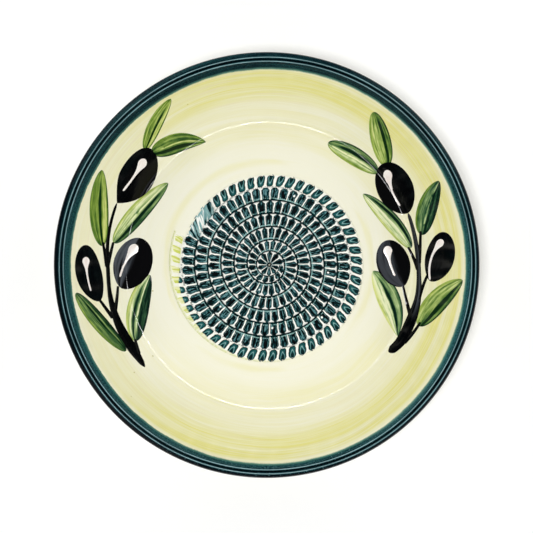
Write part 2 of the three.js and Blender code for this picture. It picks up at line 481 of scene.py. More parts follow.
clay = bare_clay_finish()
on_wall = inside[0] > KNEE_R
seat_r = np.interp(seat_z, inside[1][on_wall], inside[0][on_wall])
clay_top_r = seat_r - CLAY_BELOW_SEAT
clay_mouth_r = MOUTH_R - CLAY_BELOW_MOUTH
wall_start_r = KNEE_R - KNEE_CURVE
clay_outline = [(0, floor_z - POCKET_DEPTH), (POCKET_R, floor_z - POCKET_DEPTH)]
clay_outline += beside(inside, GLAZE_T, POCKET_R, clay_top_r, CLAY_INSIDE_STEPS)
clay_outline += beside(thrown, GLAZE_T + WALL_T, clay_mouth_r, wall_start_r, CLAY_OUTSIDE_STEPS)
clay_outline += [(foot_r, foot_top), (0, foot_top)]
clay_body = new_piece("clay_body", turned("clay_body", clay_outline), clay)
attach(clay_body, "root")
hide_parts("bowl_shell")


# Foot ring
# A low ring of the same clay that is luted under the floor and turned true. It stays unglazed, so
# that the bowl doesn't stick to the kiln shelf, and its flat face stands on the table.
FOOT_W = 9.0
FOOT_TAPER = 1.4
FOOT_EDGE = 0.8
FOOT_CORNER_STEPS = 5


def round_corner(corner, before, after, size, steps):
    """Points that round a corner of an outline, between its neighbours."""
    corner, before, after = (np.array(point, float) for point in (corner, before, after))
    start = corner + size * unit(before - corner)
    end = corner + size * unit(after - corner)
    return [tuple(point) for point in curved(start, corner, end, steps)]


foot_outer = (foot_r - FOOT_TAPER + FOOT_EDGE / 2, 0)
foot_inner = (foot_r - FOOT_W + FOOT_TAPER - FOOT_EDGE / 2, 0)
foot_outline = [(foot_r - FOOT_W, foot_top)]
foot_outline += round_corner(foot_inner, foot_outline[0], foot_outer, FOOT_EDGE, FOOT_CORNER_STEPS)
foot_outline += round_corner(foot_outer, foot_inner, (foot_r, foot_top), FOOT_EDGE, FOOT_CORNER_STEPS)
foot_outline += [(foot_r, foot_top)]
foot = new_piece("foot", turned("foot", foot_outline), clay)
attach(foot, "root")
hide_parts("foot_ring")


# Rim
# The rolled rim has two beads and is brushed with teal glaze, which breaks pale on them and pools in the
# groove. The pale lines on the bead crests are also a painted highlight, and painted shade darkens the
# outer slope away from the upper side. The teal goes on over the washed cream glaze of the inside, so one
# finish holds both.
BEAD_R = 0.9
INNER_BEAD_R = 95.65
OUTER_BEAD_R = 97.55
GROOVE_R = (INNER_BEAD_R + OUTER_BEAD_R) / 2
GROOVE_DEPTH = 1.3
BEADS_ASIDE = (0.45, -0.27)
BEADS_FROM_TO = (93.3, 95.0, 98.2, 99.8)
RIM_SHOULDER = (99.9, 45.4)
RIM_EDGE = (100.0, 43.0)
RIM_UNDER_R = 99.75
RIM_UNDER_RISE = 3.0
RIM_SLOPE_SHORT = 0.5
RIM_COLUMNS = 320
INNER_BEAD_ARC = (175, 20, 14)
OUTER_BEAD_ARC = (160, 65, 10)
SHOULDER_STEPS = 12
SLOPE_STEPS = 30
FLOOR_WASH_R = (56, 65)
WALL_WASH_R = (77, 85)
SMEAR_R = (70, 80)
WASH_THINS_R = (91.2, 92.6)
HALO_R = 50.5
HALO_HALF_WIDTH = 3.2
SWAY_MM = 7
SPECK_CELLS = 0.11
TEAL_EDGE_R = 93.15
TEAL_MIDDLE = (0.68, -0.58)
LIGHTER_SLOPE_R = (95.4, 94.8)
SHADED_LIP_R = (98.0, 98.6)
BEAD_TOP_Z = (45.2, 45.9)
INNER_LINE_HALF = 0.33
OUTER_LINE_HALF = 0.31
GROOVE_LINE_HALF = 0.6
CREAM_GLOSS = 0.22
TEAL_GLOSS = 0.06
GLAZE_BUMP = 0.05
CREAM = colour_of(246, 244, 226)
WASH = colour_of(232, 226, 140)
WASH_BEIGE = colour_of(238, 230, 203)
WASH_SPECK = colour_of(190, 182, 104)
TEAL_DARK = colour_of(0, 24, 31)
TEAL = colour_of(48, 98, 101)
TEAL_PALE = colour_of(136, 176, 180)
TEAL_FRINGE = colour_of(84, 134, 118)
TEAL_POOL = colour_of(2, 10, 13)


def wash_specks(nodes, place):
    """Small round specks of thick wash, in some of the cells of a pattern."""
    cells = {"Vector": nodes.vector(*place[:3]), "Scale": SPECK_CELLS}
    nearest = nodes.add("ShaderNodeTexVoronoi", {"feature": "F1"}, cells)
    chosen = nodes.add("ShaderNodeSeparateColor", inputs={0: nearest.other("Color")})
    return nearest.rise(0.055, 0.03) * chosen.rise(0.80, 0.82)


def wash_colour(nodes, place):
    """Cream glaze with the yellow-green wash, and the marks of the bristles and the strokes."""
    x, y, z, radius = place
    sway = round_noise(nodes, place, across=0.02, around=1.3, shift=7) - 0.5
    swayed = (x, y, z, radius + SWAY_MM * sway)
    broad = round_noise(nodes, swayed, across=0.16, around=1.1, shift=1, detail=3)
    strokes = round_noise(nodes, swayed, across=0.55, around=1.7, shift=5, detail=3)
    bristles = round_noise(nodes, swayed, across=2.2, around=3.5, shift=9, detail=2)
    left_side = (x / radius).rise(-0.35, -0.95)
    level = 0.02 + 0.25 * radius.rise(*FLOOR_WASH_R) + 0.52 * radius.rise(*WALL_WASH_R)
    level = level * (1 - 0.6 * left_side)
    streaks = 1.5 * (broad - 0.5) + 1.4 * (strokes - 0.5) + 1.0 * (bristles - 0.5)
    halo = 0.3 * radius.line(HALO_R, HALO_HALF_WIDTH) * broad.rise(0.4, 0.6)
    thinned = 1 - 0.55 * radius.rise(*WASH_THINS_R)
    wash = (level + streaks * (0.10 + 0.9 * level) + halo) * thinned
    colour = nodes.mix(wash.share(), CREAM, WASH)
    smear = strokes.rise(0.55, 0.68) * radius.rise(*SMEAR_R) * 0.55
    colour = nodes.mix(smear, colour, WASH_BEIGE)
    colour = nodes.mix(0.8 * wash_specks(nodes, place), colour, WASH_SPECK)
    return colour, bristles, strokes


def far_from(x, y, middle):
    """The distance from an upright line that passes through a point (x, y)."""
    aside_x = x - middle[0]
    aside_y = y - middle[1]
    return (aside_x * aside_x + aside_y * aside_y) ** 0.5


def teal_colour(nodes, place):
    """Brushed teal glaze: pale on the beads where it breaks, with a painted highlight along their crests,
    and black in the groove. It is lighter on the inner slope towards the lower right, and painted shade
    darkens the outer slope away from the upper side.
    """
    x, y, z, radius = place
    bead_r = far_from(x, y, BEADS_ASIDE)
    speckle = nodes.noise(nodes.vector(x, y, z), scale=1.5, detail=4, roughness=0.7)
    brushed = round_noise(nodes, place, across=1.3, around=3.0, shift=11, detail=3)
    upper = (y / radius).rise(-0.1, 0.75)
    right_side = (x / radius).rise(0.3, 1.0)
    lower = (y / radius).rise(-0.7, -1.0)
    lighter_slope = (1 - upper) * (0.62 + 0.4 * right_side - 0.15 * lower) * bead_r.rise(*LIGHTER_SLOPE_R)
    speckled = (1.2 + 1.6 * lighter_slope) * (speckle - 0.5)
    # painted shade: the outer slope is darkened everywhere but at the upper side
    shaded_lip = bead_r.rise(*SHADED_LIP_R) * (1 - upper)
    tone = (speckled + 0.9 * (brushed - 0.5) + 0.15 + 0.55 * lighter_slope - 0.3 * shaded_lip).share()
    colour = nodes.mix(tone, TEAL_DARK, TEAL)
    colour = nodes.mix(0.75 * shaded_lip, colour, TEAL_POOL)
    colour = nodes.mix(0.5 * lower * speckle.rise(0.58, 0.70), colour, TEAL_PALE)
    # the pale lines on the bead crests are glaze that breaks pale and a painted highlight
    bead_line_strength = round_noise(nodes, place, across=0.3, around=6.0, shift=13, detail=4).rise(0.3, 0.7)
    inner_line = bead_r.line(INNER_BEAD_R, INNER_LINE_HALF)
    outer_line = bead_r.line(OUTER_BEAD_R, OUTER_LINE_HALF)
    beads = (inner_line + outer_line).share() * z.rise(*BEAD_TOP_Z) * (0.55 + 0.45 * bead_line_strength)
    colour = nodes.mix(beads, colour, TEAL_PALE)
    groove = bead_r.line(GROOVE_R, GROOVE_LINE_HALF)
    return nodes.mix(0.9 * groove, colour, TEAL_POOL), speckle


def painted_glaze_finish():
    """The washed cream glaze, and the teal over it from an uneven edge with a thin green fringe."""
    material, nodes = new_finish("painted_glaze")
    place = bowl_place(nodes)
    x, y, z, radius = place
    wash, bristles, strokes = wash_colour(nodes, place)
    teal, speckle = teal_colour(nodes, place)
    wobble = round_noise(nodes, place, across=0.05, around=9.0, shift=17, detail=4) - 0.5
    reach = far_from(x, y, TEAL_MIDDLE) + 0.7 * wobble + 0.5 * (speckle - 0.5)
    fringe_from = TEAL_EDGE_R - 0.35 - 0.45 * (x / radius).rise(-0.9, 0.2)
    colour = nodes.mix(reach.rise(fringe_from, TEAL_EDGE_R - 0.1), wash, TEAL_FRINGE)
    teal_share = reach.rise(TEAL_EDGE_R - 0.4, TEAL_EDGE_R + 0.7)
    colour = nodes.mix(teal_share, colour, teal)
    waves = nodes.noise(nodes.vector(x, y, z), scale=0.06)
    height = 0.08 * bristles + 0.7 * waves + 0.2 * strokes
    roughness = 0.03 + 0.04 * strokes
    cream_coat = coat(nodes, colour, roughness, height, GLAZE_BUMP, CREAM_GLOSS)
    teal_coat = coat(nodes, colour, roughness + 0.1, height, GLAZE_BUMP, TEAL_GLOSS)
    show(nodes, nodes.add("ShaderNodeMixShader", inputs={0: teal_share, 1: cream_coat, 2: teal_coat}))
    return material


def bead_arc(middle_r, start, end, steps):
    """Points over a bead, from a start to an end angle in degrees."""
    angles = np.radians(np.linspace(start, end, steps))
    return [(middle_r + BEAD_R * math.cos(a), bead_z + BEAD_R * math.sin(a)) for a in angles]


def with_beads_aside(mesh):
    """Moves the beads in a mesh a little off the bowl's axis, as they were turned by hand."""
    for vertex in mesh.vertices:
        radius = vertex.co.xy.length / MM
        share = np.interp(radius, BEADS_FROM_TO, (0, 1, 1, 0)) * MM
        vertex.co.xy += Vector(BEADS_ASIDE) * share
    return mesh


rim_top = rim_high.z / MM
bead_z = rim_top - BEAD_R
rim_outline = beside(inside, GLAZE_T, seat_r, SLOPE_END_R - RIM_SLOPE_SHORT, SLOPE_STEPS)
rim_outline += bead_arc(INNER_BEAD_R, *INNER_BEAD_ARC)
rim_outline += [(GROOVE_R, rim_top - GROOVE_DEPTH)]
rim_outline += bead_arc(OUTER_BEAD_R, *OUTER_BEAD_ARC)
shoulder = curved(rim_outline[-1], RIM_SHOULDER, RIM_EDGE, SHOULDER_STEPS)
rim_outline += [tuple(point) for point in shoulder[1:]]
rim_outline += [(RIM_UNDER_R, seat_z + RIM_UNDER_RISE), (outer_seat_r, seat_z)]

painted_glaze = painted_glaze_finish()
rim_mesh = with_beads_aside(turned("rim", rim_outline, RIM_COLUMNS))
rim = new_piece("rim", rim_mesh, painted_glaze)
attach(rim, "root")
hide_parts("rim_band")


# Inside glaze
# A coat of cream glaze lies on the floor and wall, washed yellow-green with a brush while the bowl
# turned. It reaches up to the rim's beads and dips under the edge of the grater.
ROW_PITCH = 6.4
END_BEARING = 161.0
END_OVERLAP = 1.6
GRATER_MIDDLE = (0.5, 0.3)
GLAZE_UNDER_TEETH = 1.7
STEP_FOOT = 1.5
STEP_HEAD = 0.5
KNEE_MARGIN = 1.2
ROUND_COLUMNS = 360
FLOOR_ROWS = 9
KNEE_ROWS = 16
WALL_ROWS = 24
LIP_ROWS = 9

sheet_rows = np.concatenate([
    np.linspace(KNEE_R - KNEE_MARGIN * KNEE_CURVE, KNEE_R + KNEE_CURVE, KNEE_ROWS),
    np.linspace(KNEE_R + KNEE_MARGIN * KNEE_CURVE, LIP_R - LIP_CURVE, WALL_ROWS, endpoint=False),
    np.linspace(LIP_R - LIP_CURVE, SLOPE_END_R, LIP_ROWS),
])


def spiral_edge(bearing):
    """Radius of the grater's outer edge, in millimetres, at a bearing in degrees."""
    return GRATER_R - ROW_PITCH * (((bearing - END_BEARING - END_OVERLAP) % 360) / 360)


def sheet_column(shape, bearing):
    """The sheet's points at one bearing: outwards on its upper face, stepping down under the grater, and
    back on its lower face. Near the grater they follow the grater's own middle."""
    edge = spiral_edge(bearing)
    radii = [0.0, edge - STEP_FOOT, edge - STEP_HEAD]
    radii += list(np.linspace(edge, sheet_rows[0], FLOOR_ROWS, endpoint=False)) + list(sheet_rows)
    heights = [inside_height(r) for r in radii]
    heights[0] -= GLAZE_UNDER_TEETH
    heights[1] -= GLAZE_UNDER_TEETH
    upper = list(zip(radii, heights))
    lower = [(r, z - GLAZE_T) for r, z in reversed(upper)]
    turn = math.radians(bearing)
    column = []
    for r, z in upper + lower:
        aside = np.interp(r, (edge, sheet_rows[0]), (1, 0))
        x = r * math.cos(turn) + aside * GRATER_MIDDLE[0]
        y = r * math.sin(turn) + aside * GRATER_MIDDLE[1]
        column.append(shape.verts.new((x * MM, y * MM, z * MM)))
    return column


def inside_sheet(name):
    """The glaze's upper face as a polar grid, and a parallel face under it."""
    shape = bmesh.new()
    bearings = np.arange(ROUND_COLUMNS) * 360 / ROUND_COLUMNS
    join_rings(shape, [sheet_column(shape, bearing) for bearing in bearings])
    return finished_mesh(name, shape)


inside_mesh = with_beads_aside(inside_sheet("painted_inside"))
painted_inside = new_piece("painted_inside", inside_mesh, painted_glaze)
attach(painted_inside, "root")
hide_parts("inside_glaze")


# Outside glaze
# The cream coat goes on down the outside too and stops above the bare foot. The teal of the rim is
# brushed a little way down over it and ends in an uneven line.
TEAL_RUN_Z = 34.0
TEAL_RUN_WOBBLE = 5.0
OUTSIDE_CLEAR = 0.1
COAT_BELOW_MOUTH = 0.6
OUTSIDE_STEPS = 60
OUTSIDE_BUMP = 0.15


def outside_glaze_finish():
    """Cream glaze with a thin wash, and the teal that runs down over it from the rim."""
    material, nodes = new_finish("outside_glaze")
    place = bowl_place(nodes)
    broad = round_noise(nodes, place, across=0.07, around=1.4, shift=21, detail=3)
    bristles = round_noise(nodes, place, across=0.9, around=3.0, shift=23, detail=2)
    wash = (0.2 + 1.3 * (broad - 0.5) + 0.5 * (bristles - 0.5)).share()
    cream = nodes.mix(wash, CREAM, WASH)
    teal, speckle = teal_colour(nodes, place)
    wobble = round_noise(nodes, place, across=0.03, around=6.0, shift=25, detail=4) - 0.5
    reach = place[2] + TEAL_RUN_WOBBLE * wobble + 1.0 * (speckle - 0.5)
    colour = nodes.mix(reach.rise(TEAL_RUN_Z - 1.2, TEAL_RUN_Z + 0.2), cream, TEAL_FRINGE)
    colour = nodes.mix(reach.rise(TEAL_RUN_Z - 0.3, TEAL_RUN_Z + 1.0), colour, teal)
    waves = nodes.noise(nodes.vector(*place[:3]), scale=0.07)
    show(nodes, coat(nodes, colour, 0.12 + 0.1 * broad, 0.4 * bristles + waves, OUTSIDE_BUMP))
    return material


clay_side = GLAZE_T + WALL_T + OUTSIDE_CLEAR
open_side = 2 * GLAZE_T + WALL_T
outside_outline = beside(thrown, clay_side, wall_start_r, clay_mouth_r, OUTSIDE_STEPS)
outside_outline[-1] = (outer_seat_r - GLAZE_T, seat_z)
outside_outline += [(outer_seat_r, seat_z)]
outside_outline += beside(thrown, open_side, MOUTH_R - COAT_BELOW_MOUTH, wall_start_r, OUTSIDE_STEPS)
outside_coat = new_piece("outside_coat", turned("outside_coat", outside_outline), outside_glaze_finish())
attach(outside_coat, "root")
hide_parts("outside_glaze")


# Grater
# The teeth are one spiral row of gouges pushed into the leather-hard floor, each with a sharp lip at its
# inner end and a ridge on either side. Teal glaze was brushed on and wiped, so it stays in the gouges.
ROW_TEETH = 256
ROSETTE_TEETH = 10
ROSETTE_APART = 2
FIRST_TURN_TEETH = 55
SPIRAL_TEETH = 257
SPIRAL_TURNS = 6.713
ROW_CLOSING = 0.668
ROSETTE_FALL = 2.4
HUB_R = 0.4
MEAN_TOOTH_W = 4.6
WIDEST_HALF_TOOTH = 2.4
ACROSS_STEPS = 8
ALONG_STEPS = 9
ALONG_CROWDING = 1.4
ROW_MERGE = 0.001
SLAB_MERGE = 1e-5
GOUGE_DEPTH = 0.9
RIDGE_RISE = 0.55
LIP_RISE = 0.75
LEAST_LIP = 0.75
MOST_LIP = 1.2
BED_DEPTH = 1.5
SEED = 11
WIPED_FROM_TO = (FIRST_TURN_TEETH - 4.2, FIRST_TURN_TEETH - 3.4)
TOOTH_GLOSS = 0.015
TOOTH_BUMP = 0.04
TOOTH_WHITE = colour_of(254, 255, 250)
TOOTH_BLACK = colour_of(0, 14, 17)
TOOTH_SLATE_HIGHLIGHT = colour_of(98, 142, 146)
TOOTH_TEAL = colour_of(12, 66, 70)
TOOTH_BULLET = colour_of(42, 98, 100)
TOOTH_SMEAR = colour_of(128, 170, 172)
TOOTH_LINE = colour_of(0, 36, 38)
TOOTH_PALE_HIGHLIGHT = colour_of(158, 204, 204)
TOOTH_YELLOW = colour_of(206, 214, 104)
TOOTH_CREAM = colour_of(238, 238, 186)


def gouge_half_width(tooth_at, along, outer):
    """Half width of a gouge, as a share of half a tooth. along runs from its inner end, 0, to its outer
    end, 1, where the ridge beside it flares. In the outermost turn, where outer is 1, both ends are
    round."""
    flare = (0.34 + 0.22 * tooth_at.rise(70, 190)) * along.rise(0.80, 0.98)
    between_bars = 0.84 - flare
    inner_end = ((0.32 - along).at_least(0) / 0.29).at_most(1)
    outer_end = ((along - 0.70).at_least(0) / 0.34).at_most(1)
    rounded = 0.76 * (1 - inner_end * inner_end) ** 0.5 * (1 - 0.95 * outer_end * outer_end)
    return between_bars * (1 - outer) + rounded * outer


def by_hand(nodes, tooth_at, along):
    """The place along the row, moved a little to and fro as a hand-held gouge strays."""
    stray = nodes.noise(nodes.vector(tooth_at * 0.9, along * 1.6, 3.5))
    return tooth_at + 0.30 * (stray - 0.5)


def flat_row(nodes, size):
    """One tooth's grid, 1 by 1, set side by side for the row and, further on in Y, for the rosette."""
    grid = nodes.add("GeometryNodeMeshGrid", inputs={
        "Size X": 1.0, "Size Y": 1.0, "Vertices X": ACROSS_STEPS, "Vertices Y": ALONG_STEPS,
    })
    tooth = nodes.add("GeometryNodeTransform", inputs={"Geometry": grid, "Translation": (0.5, 0.5, 0)})
    row_teeth = size.other("Row Teeth")
    count = row_teeth + size.other("Rosette Teeth")
    points = nodes.add("GeometryNodeMeshLine", inputs={"Count": count, "Offset": (1, 0, 0)})
    index = nodes.add("GeometryNodeInputIndex")
    in_rosette = index.math("GREATER_THAN", index + 0.5, row_teeth)
    aside = nodes.vector(0, ROSETTE_APART * in_rosette, 0)
    points = nodes.add("GeometryNodeSetPosition", inputs={"Geometry": points, "Offset": aside})
    row = nodes.add("GeometryNodeInstanceOnPoints", inputs={"Points": points, "Instance": tooth})
    row = nodes.add("GeometryNodeRealizeInstances", inputs={"Geometry": row})
    return nodes.add("GeometryNodeMergeByDistance", inputs={"Geometry": row, "Distance": ROW_MERGE})


def keep_values(nodes, geometry, values):
    """Stores fields on the points of a geometry, under their names."""
    settings = {"data_type": "FLOAT", "domain": "POINT"}
    for name, value in values.items():
        inputs = {"Geometry": geometry, "Name": name, "Value": value}
        geometry = nodes.add("GeometryNodeStoreNamedAttribute", settings, inputs)
    return geometry


def kept_value(nodes, name):
    return nodes.add("GeometryNodeInputNamedAttribute", {"data_type": "FLOAT"}, {"Name": name})


def thickened(nodes, row, depth):
    """The flat row as a closed slab. Each point keeps its tooth, how far along the tooth it lies, and
    whether it is in the rosette and on top."""
    flat_x = nodes.add("ShaderNodeSeparateXYZ", inputs={0: nodes.add("GeometryNodeInputPosition")})
    flat_y = flat_x.other("Y")
    in_rosette = flat_y.math("GREATER_THAN", flat_y, ROSETTE_APART - 0.5)
    along = (flat_y - ROSETTE_APART * in_rosette).at_least(0) ** ALONG_CROWDING
    row = keep_values(nodes, row, {"tooth": flat_x, "along": along, "rosette": in_rosette})
    lift = {"Mesh": row, "Offset Scale": depth, "Individual": False}
    raised = nodes.add("GeometryNodeExtrudeMesh", {"mode": "FACES"}, lift)
    raised = keep_values(nodes, raised, {"top": raised.other("Top")})
    under = nodes.add("GeometryNodeFlipFaces", inputs={"Mesh": row})
    slab = nodes.add("GeometryNodeJoinGeometry", inputs={"Geometry": raised})
    nodes.tree.links.new(under.socket, slab.socket.node.inputs[0])
    return nodes.add("GeometryNodeMergeByDistance", inputs={"Geometry": slab, "Distance": SLAB_MERGE})


def tooth_relief(nodes, size, tooth_at, along, outer):
    """How far a place on the teeth stands above the floor, or below it in a gouge."""
    across = abs(by_hand(nodes, tooth_at, along).fraction() - 0.5) * 2
    half_width = gouge_half_width(tooth_at, along, outer)
    gouged = (across - half_width).rise(0.08, -0.26) * along.rise(0.06, 0.22)
    depth = size.other("Gouge Depth") * gouged * (1.15 - 0.5 * along)
    ridge = size.other("Ridge Rise") * (1 - outer * along.rise(0.35, 0.95))
    lip = size.other("Lip Rise") * along.line(0.085, 0.11)
    line_dip = size.other("Ridge Rise") * along.rise(0.05, 0.0)
    chance = nodes.add("FunctionNodeRandomValue", {"data_type": "FLOAT"}, {
        2: LEAST_LIP, 3: MOST_LIP, "ID": (tooth_at + 0.5).whole(), "Seed": size.other("Seed"),
    }, output=1)
    return ridge + lip * chance - depth - line_dip


def on_spiral(size, tooth_at, along, outer, rosette):
    """The distance from the grater's middle, and the bearing, of a place in the flat row."""
    row_teeth = size.other("Row Teeth")
    slant = (0.06 + 0.26 * outer) * (1 - rosette)
    bent_at = tooth_at - slant * (along - 0.5)
    left = ((SPIRAL_TEETH - bent_at) / SPIRAL_TEETH).at_least(0)
    row_turn = SPIRAL_TURNS * (1 - left ** ROW_CLOSING)
    row_end = SPIRAL_TURNS * (1 - (1 - row_teeth / SPIRAL_TEETH) ** ROW_CLOSING)
    rosette_turn = row_end + (bent_at - row_teeth) / size.other("Rosette Teeth")
    turns = row_turn * (1 - rosette) + rosette_turn * rosette

    def edge(turn):
        """Radius of the row's outer edge after a number of turns."""
        row_edge = size.other("Outer Radius") - size.other("Row Pitch") * turn.at_most(row_end)
        return row_edge - size.other("Rosette Fall") * (turn - row_end).at_least(0)

    outer_r = edge(turns)
    inner_r = edge(turns + 1) * (1 - rosette) + size.other("Hub") * rosette
    bearing = size.other("End Bearing") + 2 * math.pi * turns
    return inner_r + (outer_r - inner_r) * along, bearing


def grater_tree(sizes):
    """Geometry nodes with those sizes as inputs: a row of teeth, bent into the spiral."""
    tree = bpy.data.node_groups.new("grater_teeth", "GeometryNodeTree")
    for name, (kind, _) in sizes.items():
        tree.interface.new_socket(name, in_out="INPUT", socket_type=kind)
    tree.interface.new_socket("Geometry", in_out="OUTPUT", socket_type="NodeSocketGeometry")
    nodes = Nodes(tree)
    size = nodes.add("NodeGroupInput")
    bed_depth = size.other("Bed Depth")
    solid = thickened(nodes, flat_row(nodes, size), bed_depth)
    tooth_at = kept_value(nodes, "tooth")
    along = kept_value(nodes, "along")
    on_top = kept_value(nodes, "top")
    outer = tooth_at.rise(FIRST_TURN_TEETH + 0.5, FIRST_TURN_TEETH - 0.5)
    relief = tooth_relief(nodes, size, tooth_at, along, outer)
    radius, bearing = on_spiral(size, tooth_at, along, outer, kept_value(nodes, "rosette"))
    bent = nodes.vector(
        radius * bearing.math("COSINE", bearing) + GRATER_MIDDLE[0] * MM,
        radius * bearing.math("SINE", bearing) + GRATER_MIDDLE[1] * MM,
        size.other("Floor") + relief * on_top - bed_depth * (1 - on_top),
    )
    solid = nodes.add("GeometryNodeSetPosition", inputs={"Geometry": solid, "Position": bent})
    solid = nodes.add("GeometryNodeSetShadeSmooth", inputs={"Geometry": solid})
    solid = nodes.add("GeometryNodeRealizeInstances", inputs={"Geometry": solid})
    glazed = {"Geometry": solid, "Material": size.other("Finish")}
    solid = nodes.add("GeometryNodeSetMaterial", inputs=glazed)
    nodes.add("NodeGroupOutput", inputs={"Geometry": solid})
    return tree


def made_by_nodes(name, tree, sizes):
    """A plain mesh made by a tree: its inputs are set, it is evaluated once, and its faces are turned
    outwards."""
    maker = bpy.data.objects.new(name + "_maker", bpy.data.meshes.new(name + "_maker"))
    bpy.context.scene.collection.objects.link(maker)
    modifier = maker.modifiers.new("nodes", "NODES")
    modifier.node_group = tree
    for item in tree.interface.items_tree:
        if item.in_out == "INPUT":
            modifier[item.identifier] = sizes[item.name][1]
    graph = bpy.context.evaluated_depsgraph_get()
    mesh = bpy.data.meshes.new_from_object(maker.evaluated_get(graph))
    bpy.data.objects.remove(maker)
    mesh.name = name
    shape = bmesh.new()
    shape.from_mesh(mesh)
    bmesh.ops.recalc_face_normals(shape, faces=shape.faces)
    shape.to_mesh(mesh)
    shape.free()
    return mesh


def stored_value(nodes, name):
    return nodes.add("ShaderNodeAttribute", {"attribute_name": name}, output="Fac")


class Tooth:
    """What the glaze on the teeth goes by: the tooth's place in the row, how far along and to which side
    of its gouge a point lies, how far inside the gouge it is, and the marks of the brush there."""

    def __init__(self, nodes):
        self.at = stored_value(nodes, "tooth")
        self.along = stored_value(nodes, "along")
        self.outer = self.at.rise(FIRST_TURN_TEETH + 0.05, FIRST_TURN_TEETH - 0.05)
        placed = by_hand(nodes, self.at, self.along)
        self.side = placed.fraction() - 0.5
        self.across = abs(self.side) * 2
        number = {"W": placed.whole() + 0.37}
        chance = nodes.add("ShaderNodeTexWhiteNoise", {"noise_dimensions": "1D"}, number)
        drawn = nodes.add("ShaderNodeSeparateColor", inputs={0: chance.other("Color")})
        self.chances = (drawn, drawn.other("Green"), drawn.other("Blue"))
        self.wander = nodes.noise(nodes.vector(self.at * 1.7, self.along * 3.0, 0.5)) - 0.5
        half_width = gouge_half_width(self.at, self.along, self.outer)
        self.half_width = half_width + 0.2 * self.wander - 0.16 * self.at.rise(9, 4)
        self.inside = self.half_width - self.across
        combed = self.along * 1.5 + 9 * self.chances[0]
        self.streaks = nodes.noise(nodes.vector(self.at * 5.4, combed, self.chances[1] * 5), detail=1)
        self.grain = nodes.noise(nodes.vector(self.at * 8, self.along * 6, 0.3))


def gouge_colour(nodes, tooth):
    """The glaze in a gouge of the inner turns: black and teal streaks, slate streaks down its middle that
    are also a painted highlight, a pale rim where it was wiped thinner that also holds a painted
    reflection, and in a few gouges a painted white glint."""
    along = tooth.along
    chance_a, chance_b, chance_c = tooth.chances
    colour = nodes.mix(tooth.streaks.rise(0.46, 0.62), TOOTH_BLACK, TOOTH_TEAL)
    # painted highlight: slate streaks down the middle of the gouge
    slate_streak_highlight = tooth.inside.rise(0.22, 0.45) * along.rise(0.10, 0.25) * along.rise(1.0, 0.8)
    slate_streak_highlight = slate_streak_highlight * tooth.streaks.rise(0.56, 0.62) * tooth.grain.rise(0.34, 0.50)
    colour = nodes.mix(slate_streak_highlight, colour, TOOTH_SLATE_HIGHLIGHT)
    # pale rim: glaze wiped thinner and a painted reflection along the gouge's wall
    from_edge = (tooth.inside * WIDEST_HALF_TOOTH).at_most((along - 0.12) * ROW_PITCH)
    pale_rim_and_reflection = from_edge.line(0.50, 0.32) * (0.3 + 0.7 * along.rise(0.55, 0.25))
    colour = nodes.mix(pale_rim_and_reflection * tooth.grain.rise(0.40, 0.56), colour, TOOTH_PALE_HIGHLIGHT)
    # painted glint: a white dot in a few gouges
    dot_side = tooth.side * MEAN_TOOTH_W - (chance_a - 0.5) * 1.6
    dot_along = (along - 0.30 - 0.4 * chance_b) * ROW_PITCH
    glint_dot = (dot_side * dot_side + dot_along * dot_along).rise(0.45, 0.15) * chance_c.rise(0.955, 0.965)
    return nodes.mix(glint_dot, colour, TOOTH_WHITE)


def outer_gouge_colour(nodes, tooth):
    """The glaze in a gouge of the outermost turn: teal at its inner end and black in a cup past it, with
    a pale line of painted reflection between them."""
    from_middle = tooth.across / tooth.half_width.at_least(0.05)
    cup = tooth.along - 0.30 - 1.3 * from_middle * from_middle
    filled = from_middle.rise(0.95, 0.5) * tooth.along.rise(0.07, 0.2)
    colour = nodes.mix(filled, TOOTH_LINE, TOOTH_BULLET)
    colour = nodes.mix(0.85 * cup.rise(0.12, 0.30), colour, TOOTH_BLACK)
    colour = nodes.mix(0.3 * tooth.streaks.rise(0.56, 0.44), colour, TOOTH_BLACK)
    # painted reflection: the pale line round the edge of the cup
    return nodes.mix(cup.line(0.04, 0.10) * (0.5 + 0.5 * tooth.chances[0]), colour, TOOTH_PALE_HIGHLIGHT)


def wiped_colour(nodes, tooth):
    """The glaze where a wipe drew it out in dark, pale and white streaks."""
    slanted = tooth.at * 2.6 + tooth.along * 2.0
    wipes = nodes.noise(nodes.vector(slanted, tooth.along * 0.9, 2.2)) - 0.10 * (tooth.along - 0.4)
    colour = nodes.mix(wipes.rise(0.42, 0.50), TOOTH_LINE, TOOTH_SMEAR)
    return nodes.mix(wipes.rise(0.55, 0.64), colour, TOOTH_WHITE)


def missed_colour(nodes, tooth, wash):
    """The wash that shows in the gouges that the teal brush missed, in yellow and cream stripes."""
    stripes = nodes.noise(nodes.vector(tooth.at * 4.5, tooth.along * 0.8, 4.1), detail=1)
    colour = nodes.mix(stripes.rise(0.44, 0.58), TOOTH_YELLOW, TOOTH_CREAM)
    return nodes.mix(0.7 * tooth.at.rise(6, 12), colour, wash)


def ridge_colour(nodes, tooth, wash, missed):
    """The ridges beside the gouges, wiped white, with yellow at the outer edge of the brushed ring."""
    whiteness = 0.9 * (1 - 0.7 * missed) * (1 - 0.7 * tooth.outer * tooth.along.rise(0.75, 1.0))
    colour = nodes.mix(whiteness, wash, TOOTH_WHITE)
    brush_edge = tooth.outer * tooth.along.rise(0.76, 0.92) * tooth.at.rise(24, 12)
    return nodes.mix(0.5 * (brush_edge * tooth.grain.rise(0.30, 0.55)), colour, TOOTH_YELLOW)


